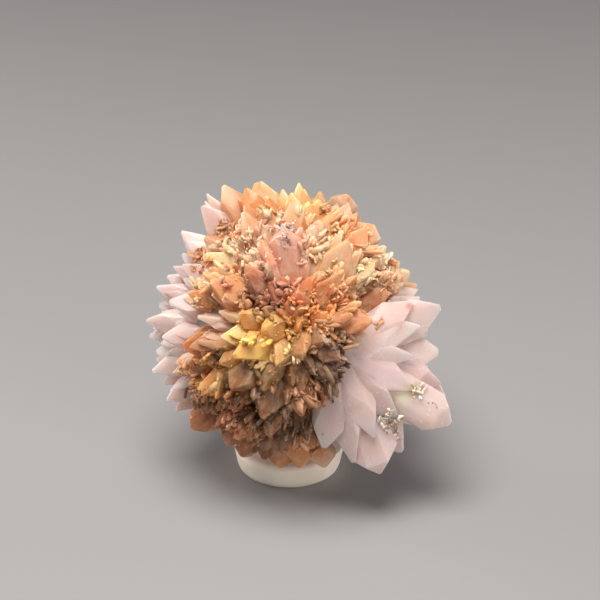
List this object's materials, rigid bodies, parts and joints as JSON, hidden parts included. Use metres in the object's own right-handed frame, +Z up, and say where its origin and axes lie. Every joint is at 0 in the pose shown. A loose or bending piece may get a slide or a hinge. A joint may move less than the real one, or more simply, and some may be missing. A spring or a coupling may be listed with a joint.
{
  "type": "creedite crystal cluster",
  "caption": "Ball of radiating lilac-white creedite crystals with a rusty tan crust on one face, standing in a small pad of white mounting putty.",
  "frame": {"origin": "middle of the putty pad's flat underside", "axes": "+Z up; the specimen's best face looks towards -Y; +X is to the right as it is faced"},
  "size_m": [0.0373, 0.0352, 0.0368],
  "materials": {
    "creedite": "milky translucent crystal faces, stained tan and brown on the best face",
    "putty": "matte white mounting putty"
  },
  "bodies": {
    "root": {"creedite_cluster": "creedite", "putty_pad": "putty"}
  },
  "joints": []
}
